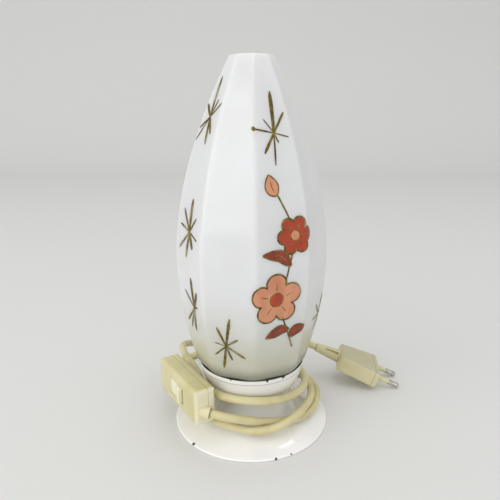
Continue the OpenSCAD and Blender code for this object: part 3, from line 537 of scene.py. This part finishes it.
# a leaf is a stroke that swells in the middle; its outline follows both edges
def leafEdges(path, width, lean=0.85, fullness=0.8):
    swell = width * np.sin(np.pi * np.linspace(0, 1, len(path)) ** lean) ** fullness
    way = unit(np.gradient(path, axis=0))
    across = np.stack([-way[:, 1], way[:, 0]], -1) * swell[:, None]
    return swell, [path + across, path - across]


def taper(ends, count):  # a sine that starts and stops a little inside its ends
    return np.sin(np.linspace(ends[0], np.pi - ends[1], count))


def sprayStrokes():
    face = spray["face"]
    gold, salmon, red, deepRed = [], [], [], []
    stem = smoothPath(spray["stem"], spray["stemPoints"])
    gold.append(stroke(face, stem, np.full(len(stem), lines["stem"]), relief["stem"]))
    for flower, fill, heart in ((spray["blossom"], salmon, red), (spray["bloom"], red, salmon)):
        at, radius, count = flower["at"], flower["radius"], flower["count"]
        edge = petals(radius, count, flower["deep"], flower["turned"])
        middle = disc(radius * spray["heart"])
        fill.append(patch(face, at, edge, relief["fill"]))
        heart.append(patch(face, at, middle, relief["heart"]))
        gold += [outline(face, at, edge, lines["petals"]), outline(face, at, middle, lines["heart"])]
        for k in range(count):
            turn = flower["turned"] + 2 * np.pi * k / count
            out = np.array([np.cos(turn), np.sin(turn)]) * radius
            path = np.array(at) + np.linspace(*spray["ray"], spray["rayPoints"])[:, None] * out
            width = lines["ray"] * taper(spray["rayEnds"], spray["rayPoints"])
            gold.append(stroke(face, path, width, relief["vein"]))
    for points, width, fill in [(spray["bud"], spray["budWidth"], salmon)] + [
            (leaf, spray["leafWidth"], deepRed) for leaf in spray["leaves"]]:
        path = smoothPath(points)
        swell, edges = leafEdges(path, width)
        fill.append(stroke(face, path, swell, relief["fill"], spray["leafSides"]))
        gold += [stroke(face, edge, np.full(len(edge), lines["leaf"]), relief["line"]) for edge in edges]
        vein = path[slice(*spray["vein"])]
        gold.append(stroke(face, vein, lines["vein"] * taper(spray["veinEnds"], len(vein)), relief["vein"]))
    return gold, salmon, red, deepRed


goldLook = {"deep": colour(70, 56, 10), "bright": colour(140, 122, 52), "worn": colour(186, 180, 150),
            "streak": (420.0, 4.0), "streakFrom": (0.3, 0.72), "wear": (85.0, 2.0), "wearFrom": (0.52, 0.72),
            "wearShare": 0.6, "grain": (300.0, 2.0), "grainRough": 0.25, "rough": 0.34, "streakMetal": 0.25,
            "metal": 0.15}
# thin and thick colour of each paint
paintLook = {"streak": (160.0, 4.0, (1.0, 1.0, 0.35)), "streakFrom": (0.3, 0.75), "streakRough": 0.12,
             "rough": 0.22, "bump": (0.15, 0.0002),
             "salmonPaint": (colour(214, 148, 112), colour(198, 126, 92)),
             "redPaint": (colour(178, 62, 26), colour(160, 46, 18)),
             "deepRedPaint": (colour(150, 52, 26), colour(122, 36, 16))}


def goldFinish(w):
    look = goldLook
    streak = w.noise(*look["streak"]).ease(*look["streakFrom"])
    worn = w.noise(*look["wear"]).ease(*look["wearFrom"]) * look["wearShare"]
    return {"Base Color": worn.blendTo(streak.blendTo(look["deep"], look["bright"]), look["worn"]),
            "Roughness": w.noise(*look["grain"]) * look["grainRough"] + look["rough"],
            "Metallic": streak * look["streakMetal"] + look["metal"]}


def paintFinish(thin, thick):
    def varied(w):
        streak = w.noise(*paintLook["streak"]).ease(*paintLook["streakFrom"])
        return {"Base Color": streak.blendTo(thin, thick),
                "Roughness": streak * paintLook["streakRough"] + paintLook["rough"],
                "Normal": streak.bump(*paintLook["bump"])}
    return varied


def paintPiece(name, grids, finish, fixed):
    piece = gridPiece(name, grids, wrapRows=False, capEnds=True)
    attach(piece, "shade")
    wear(piece, makeFinish(name, fixed, finish))


def makePaint():
    gold, salmon, red, deepRed = sprayStrokes()
    gloss = {"IOR": 1.5, "Coat Weight": 0.2}
    paintPiece("goldLines", starStrokes() + gold, goldFinish, {"IOR": 1.5, "Specular IOR Level": 0.3})
    for name, grids in (("salmonPaint", salmon), ("redPaint", red), ("deepRedPaint", deepRed)):
        paintPiece(name, grids, paintFinish(*paintLook[name]), gloss)


makePaint()
print("painted stars and flowers done")

foot = {"radius": 56.0, "height": 21.6, "lip": 1.15, "flare": 0.66, "neck": 17.0, "sheet": 1.0,
        "bead": 0.92, "beadStart": 76, "lift": 0.5, "rodHole": 5.2, "steps": 70, "turns": 224,
        "beadPoints": 16, "liftPower": 10, "crowd": 2, "trim": 6, "shoulder": 1.2, "underEdge": (2.2, 0.3)}
cup = {"z": 21.6, "neck": 17.0, "rim": 37.9, "rimHeight": 2.8, "step": 0.45, "depth": 23.6, "sheet": 0.8,
       "sweep": 76, "rodHole": 5.2, "steps": 40, "turns": 192, "stepPoints": 6, "rimPoints": 12}


def offset(line, by):  # a plane line moved sideways by a distance
    way = unit(np.gradient(line, axis=0))
    return line + by * np.stack([way[:, 1], -way[:, 0]], -1)


def arc(centre, radius, start, end, count):
    turn = np.radians(np.linspace(start, end, count))
    return np.stack([centre[0] + radius * np.cos(turn), centre[1] + radius * np.sin(turn)], -1)


# a closed outline of radius and height, turned once round the axis
def turned(name, outlinePoints, turns):
    angle = np.linspace(0, 360, turns, endpoint=False)
    grid = polar(angle[None], outlinePoints[:, :1], outlinePoints[:, 1:])
    piece = gridPiece(name, [grid * mm])
    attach(piece, "base")
    return piece


# a power of the way out from the neck, lifted a little at the edge so that it runs into the bead
def makeFoot():
    reach = foot["radius"] - foot["neck"]
    r, trim = foot["bead"], foot["trim"]
    bead = arc((foot["radius"] - r, r), r, foot["beadStart"], -90, foot["beadPoints"])
    u = (bead[0, 0] - foot["neck"]) / reach * np.linspace(0, 1, foot["steps"]) ** foot["crowd"]
    flare = np.stack([foot["neck"] + reach * u, foot["height"] + foot["lift"] * u ** foot["liftPower"]
                      - (foot["height"] - foot["lip"]) * u ** foot["flare"]], -1)
    under = offset(flare, foot["sheet"])[trim:-trim][::-1]
    top, low = foot["height"], foot["height"] - foot["sheet"]
    points = np.concatenate([[(foot["rodHole"], top), (foot["neck"] - foot["shoulder"], top)],
                             flare[1:-1], bead,
                             [(foot["radius"] - foot["underEdge"][0], foot["underEdge"][1])], under,
                             [(foot["neck"] - foot["sheet"], low), (foot["rodHole"], low)]])
    piece = turned("enamelFoot", points, foot["turns"])
    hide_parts("enamel_foot")
    return piece


def makeCup():
    bowlRadius = cup["rim"] - cup["step"]
    a = (bowlRadius - cup["neck"]) / np.sin(np.radians(cup["sweep"]))
    b = cup["depth"] / (1 - np.cos(np.radians(cup["sweep"])))
    turn = np.radians(np.linspace(0, cup["sweep"], cup["steps"]))
    bowl = np.stack([cup["neck"] + a * np.sin(turn), cup["z"] + b * (1 - np.cos(turn))], -1)
    step, top, s = cup["z"] + cup["depth"], cup["z"] + cup["depth"] + cup["rimHeight"], cup["sheet"]
    r = s / 2
    inner = offset(bowl, -s)[::-1]
    points = np.concatenate([
        [(cup["rodHole"], cup["z"])], bowl, arc((cup["rim"] - r, step + r), r, -90, 0, cup["stepPoints"]),
        arc((cup["rim"] - r, top - r), r, 0, 180, cup["rimPoints"]),
        [(cup["rim"] - s, step + s), (bowlRadius - s, step + s)], inner, [(cup["rodHole"], cup["z"] + s)]])
    piece = turned("enamelCup", points, cup["turns"])
    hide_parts("enamel_cup")
    return piece


# rust specks, rust round the chips and a painted shade line under the rim's step share one dark colour
# a chip is its angle round the lamp, distance from the axis, height and size, in mm
enamel = {"foot": colour(252, 251, 249), "cup": colour(236, 235, 229), "cupFrom": (0.0212, 0.022),
          "aged": colour(232, 230, 220), "ageing": (38.0, 4.0), "ageingFrom": (0.4, 0.8), "agedShare": 0.2,
          "iron": colour(24, 22, 20), "rustAndShade": colour(92, 62, 40), "band": 0.0452,
          "bandFrom": (0.0001, 0.0004), "bandShare": 0.4, "specks": (620.0, 1.0),
          "specksFrom": (0.765, 0.8), "specksShare": 0.45,
          "ragged": (900.0, 3.0), "raggedBy": 0.0022, "core": 0.75, "halo": 1.45, "haloShare": 0.55,
          "wave": (55.0, 2.0), "waveShare": 0.1, "ripple": (320.0, 2.0), "rippleShare": 0.01,
          "bump": (0.25, 0.0005), "rough": 0.08, "chipRough": 0.45, "agedRough": 0.04, "coat": 0.8,
          "chips": [(-74, 37.6, 48.0, 1.1), (-55.6, 37.6, 48.0, 1.2), (-111, 37.6, 48.2, 0.6),
                    (35, 37.6, 48.0, 1.1), (150, 37.6, 48.1, 0.9), (-135, 55.5, 1.6, 1.0),
                    (-73.5, 55.8, 1.1, 0.9), (-61.8, 55.7, 1.5, 0.7), (20, 55.5, 1.8, 1.0),
                    (117, 55.6, 1.8, 1.1)]}


def enamelFinish(w):
    look = enamel
    ragged = (w.noise(*look["ragged"]) - 0.5) * look["raggedBy"]
    chip, halo = None, None
    for angle, radius, z, size in look["chips"]:
        near = w.away(tuple(polar(angle, radius, z) * mm)) + ragged
        core = 1 - near.ease(size * look["core"] * mm, size * mm)
        ring = 1 - near.ease(size * mm, size * look["halo"] * mm)
        chip = core if chip is None else chip | core
        halo = ring if halo is None else halo | ring
    specks = w.noise(*look["specks"]).ease(*look["specksFrom"])
    aged = w.noise(*look["ageing"]).ease(*look["ageingFrom"])
    height = w.along((0, 0, 0), (0, 0, 1))
    tone = height.ease(*look["cupFrom"]).blendTo(look["foot"], look["cup"])
    tone = (aged * look["agedShare"]).blendTo(tone, look["aged"])
    band = 1 - abs(height - look["band"]).ease(*look["bandFrom"])  # painted shade under the rim's step
    # specks and rust round the chips are real; the line under the rim is painted shade
    dirtAndShade = specks * look["specksShare"] | halo * look["haloShare"] | band * look["bandShare"]
    tone = dirtAndShade.blendTo(tone, look["rustAndShade"])
    wave = w.noise(*look["wave"]) * look["waveShare"] + w.noise(*look["ripple"]) * look["rippleShare"]
    return {"Base Color": chip.blendTo(tone, look["iron"]),
            "Roughness": chip * look["chipRough"] + aged * look["agedRough"] + look["rough"],
            "Coat Weight": look["coat"] - chip * look["coat"], "Normal": (wave - chip).bump(*look["bump"])}


enamelWhite = makeFinish("enamelWhite", {"IOR": 1.55, "Coat Roughness": 0.02}, enamelFinish)
for piece in (makeFoot(), makeCup()):
    wear(piece, enamelWhite)
print("enamel foot and cup done")

plastic = {"ageing": (45.0, 4.0), "ageingFrom": (0.32, 0.72), "agedShare": 0.65, "scuffs": (700.0, 3.0),
           "specks": (1100.0, 1.0), "specksFrom": (0.74, 0.8), "specksShare": 0.35, "dirtShare": 0.8,
           "rough": 0.22, "agedRough": 0.1, "scuffRough": 0.14, "scuffBump": 0.3, "grooveBump": 2.0,
           "bump": (0.2, 0.0003)}
# the pale end colour is painted light on the casing's end
casing = {"at": (-0.0458, -0.0172, 0.0315), "out": (0.83867, 0.54464, 0.0), "split": 0.002,
          "seam": (0.00012, 0.000312), "seamShare": 0.55, "mouth": (0.0031, 0.00372),
          "paintedEndLightFrom": (0.0258, 0.0288), "paintedEndLightShare": 0.8, "paintedEndLight": colour(240, 235, 204),
          "dirtAndShade": colour(112, 98, 60), "case": (colour(219, 211, 162), colour(203, 191, 132)),
          "collar": (colour(234, 228, 192), colour(220, 211, 164)),
          "rocker": (colour(244, 240, 209), colour(233, 226, 186))}


# fresh and yellowed plastic in patches, with scuffs, specks, and dirt and painted shade in its grooves; a
# tint, where given, paints light on the casing's end and shade on the plug's top
def plasticFinish(fresh, yellowed, dirtAndShade, grooves, tint=None):
    def varied(w):
        look = plastic
        aged = w.noise(*look["ageing"]).ease(*look["ageingFrom"])
        tone = (aged * look["agedShare"]).blendTo(fresh, yellowed)
        if tint:
            share, tinted = tint(w)
            tone = share.blendTo(tone, tinted)
        scuffs = w.noise(*look["scuffs"])
        line = w.noise(*look["specks"]).ease(*look["specksFrom"]) * look["specksShare"]
        for groove in grooves(w):
            line = line | groove
        return {"Base Color": (line * look["dirtShare"]).blendTo(tone, dirtAndShade),
                "Roughness": aged * look["agedRough"] + scuffs * look["scuffRough"] + look["rough"],
                "Normal": (scuffs * look["scuffBump"] - line * look["grooveBump"]).bump(*look["bump"])}
    return varied


def casingGrooves(w):  # the seam between the two halves
    seam = abs(w.along(casing["at"], casing["out"]) - casing["split"])
    return [(1 - seam.ease(*casing["seam"])) * casing["seamShare"]]


def casingPaintedLight(w):  # painted light: paler towards the end
    along = w.along(casing["at"], level(lead["switchYaw"], 0).tolist())
    return along.ease(*casing["paintedEndLightFrom"]) * casing["paintedEndLightShare"], casing["paintedEndLight"]


def collarMouthShade(w):  # painted shade: a dark ring round the lead in each collar's mouth
    nearAt, farAt = switchEnds()
    mouths = [nearAt + lead["nearWay"] * lead["collarLength"], farAt + lead["farWay"] * lead["collarLength"]]
    return [1 - w.away(tuple(mouth * mm)).ease(*casing["mouth"]) for mouth in mouths]


satin = {"IOR": 1.5, "Coat Weight": 0.3, "Coat Roughness": 0.12}
switchPlastic = makeFinish("switchPlastic", satin, plasticFinish(
    *casing["case"], casing["dirtAndShade"], casingGrooves, casingPaintedLight))
collarPlastic = makeFinish("collarPlastic", satin, plasticFinish(
    *casing["collar"], casing["dirtAndShade"], collarMouthShade))
creamPlastic = makeFinish("creamPlastic", satin, plasticFinish(
    *casing["rocker"], casing["dirtAndShade"], lambda w: []))

# the film colour is painted shade on the plug's top
plug = {"tip": (0.1226, 0.0427, 0.001987), "way": (0.92559, -0.12186, -0.35837), "flange": -0.0236,
        "step": (0.00015, 0.0004), "stepShare": 0.6, "up": (0.3553, -0.0468, 0.9336),
        "topShadeFrom": (0.0052, 0.0066), "topShadeShare": 0.55, "film": colour(176, 170, 140),
        "fresh": colour(216, 209, 168), "yellowed": colour(199, 190, 142), "dirtAndShade": colour(110, 100, 66)}


def plugGrooves(w):  # a fine step behind the face that holds the pins
    step = abs(w.along(plug["tip"], plug["way"]) - plug["flange"])
    return [(1 - step.ease(*plug["step"])) * plug["stepShare"]]


def plugTopShade(w):  # painted shade: darker on top
    return w.along(plug["tip"], plug["up"]).ease(*plug["topShadeFrom"]) * plug["topShadeShare"], plug["film"]


plugPlastic = makeFinish("plugPlastic", satin, plasticFinish(
    plug["fresh"], plug["yellowed"], plug["dirtAndShade"], plugGrooves, plugTopShade))


metalLook = {"scratch": (500.0, 3.0, (1.0, 1.0, 0.15)), "scratchFrom": (0.35, 0.7), "scratchRough": 0.18,
             "bump": (0.06, 0.0002)}
plainLook = {"patches": (90.0, 4.0), "patchesFrom": (0.35, 0.75), "patchRough": 0.1, "grain": (500.0, 2.0),
             "bump": (0.06, 0.0002)}


def metalFinish(bright, dull, rough):
    def varied(w):
        scratch = w.noise(*metalLook["scratch"]).ease(*metalLook["scratchFrom"])
        return {"Base Color": scratch.blendTo(bright, dull),
                "Roughness": scratch * metalLook["scratchRough"] + rough,
                "Normal": scratch.bump(*metalLook["bump"])}
    return varied


def plainFinish(fresh, aged, rough):
    def varied(w):
        patchy = w.noise(*plainLook["patches"]).ease(*plainLook["patchesFrom"])
        return {"Base Color": patchy.blendTo(fresh, aged),
                "Roughness": patchy * plainLook["patchRough"] + rough,
                "Normal": w.noise(*plainLook["grain"]).bump(*plainLook["bump"])}
    return varied


# by slot: the finish's name, its two colours and its least roughness
metals = {"nickel": ("nickelPins", (214, 210, 200), (168, 162, 148), 0.16),
          "zinc_steel": ("zincSteel", (190, 192, 194), (150, 152, 155), 0.3),
          "brass": ("brass", (222, 188, 112), (176, 140, 70), 0.24),
          "aluminium": ("capAluminium", (206, 208, 210), (170, 172, 176), 0.3)}
plains = {"holder_plastic": ("holderPlastic", (232, 226, 204), (214, 204, 170), 0.25),
          "ceramic": ("ceramic", (236, 235, 228), (222, 219, 208), 0.35),
          "dark_insulator": ("darkInsulator", (34, 34, 38), (20, 20, 22), 0.15),
          "core_insulation": ("coreInsulation", (120, 76, 46), (96, 58, 34), 0.45),
          "clear_glass": ("clearGlass", (246, 248, 248), (240, 243, 244), 0.03)}


def slotFinishes():
    made = {"switch_plastic": switchPlastic, "plug_plastic": plugPlastic}
    for slot, (name, bright, dull, rough) in metals.items():
        made[slot] = makeFinish(name, {"Metallic": 1.0}, metalFinish(colour(*bright), colour(*dull), rough))
    solid, clear = {"IOR": 1.5}, {"IOR": 1.45, "Transmission Weight": 1.0}
    for slot, (name, fresh, aged, rough) in plains.items():
        fixed = clear if slot == "clear_glass" else solid
        made[slot] = makeFinish(name, fixed, plainFinish(colour(*fresh), colour(*aged), rough))
    return made


def dressNodes():
    finishes = slotFinishes()
    slots = {part["node"]: part["material_slot"] for part in frame["record"]["subparts"]}
    for name, node in nodes.items():
        if slots[name] in finishes:
            wear(node, finishes[slots[name]])
    for name in ("bush_near", "bush_far", "cord_gland"):
        wear(nodes[name], collarPlastic)
    wear(rockerCap, creamPlastic)


dressNodes()
print("switch, plug and inner pieces dressed")

# a lamp is its name, place, turn in degrees, size in metres and power
studio = {"floor": colour(226, 226, 224), "worn": colour(206, 206, 204), "clouds": (3.0, 2.0),
          "wornShare": 0.06, "paint": {"Roughness": 0.6, "Specular IOR Level": 0.2},
          "front": -3.0, "depth": 1.6, "width": 6.0, "cove": 0.7, "covePoints": 24, "wall": 3.0, "sky": 0.76,
          "lamps": [("key", (-1.53, -1.29, 1.05), (65, 0, -50), (2.0, 2.0), 16.0),
                    ("fill", (0.5, -1.85, 0.75), (71, 0, 15), (1.2, 1.2), 2.2),
                    ("top", (0.1, -0.2, 1.5), (9, 0, 27), (1.0, 1.0), 2.5),
                    ("strip", (0.478, 0.415, 1.247), (0, 0, 37), (0.3, 0.07), 0.14)]}


def floorFinish(w):
    worn = w.noise(*studio["clouds"]) * studio["wornShare"]
    return {"Base Color": worn.blendTo(studio["floor"], studio["worn"])}


# a flat floor that curves up into a wall
def makeStudio():
    depth, cove = studio["depth"], studio["cove"]
    line = np.concatenate([[(studio["front"], 0.0)], arc((depth, cove), cove, -90, 0, studio["covePoints"]),
                           [(depth + cove, studio["wall"])]])
    across = np.array([-studio["width"], studio["width"]])
    grid = np.stack(np.broadcast_arrays(across[None], line[:, :1], line[:, 1:]), -1)
    floor = gridPiece("floor", [grid], wrapRows=False, wrapColumns=False)
    if floor.data.polygons[0].normal.z < 0:
        floor.data.flip_normals()
    wear(floor, makeFinish("floorPaint", studio["paint"], floorFinish))
    world = bpy.data.worlds.new("studio")
    world.use_nodes = True
    sky = world.node_tree.nodes["Background"].inputs
    sky["Color"].default_value, sky["Strength"].default_value = (1, 1, 1, 1), studio["sky"]
    scene.world = world
    for name, place, turn, size, power in studio["lamps"]:
        lamp = bpy.data.lights.new(name, "AREA")
        lamp.shape, lamp.energy = "RECTANGLE", power
        lamp.size, lamp.size_y = size
        light = bpy.data.objects.new(name, lamp)
        light.location = place
        light.rotation_euler = np.radians(turn)
        scene.collection.objects.link(light)


makeStudio()
print("studio done")
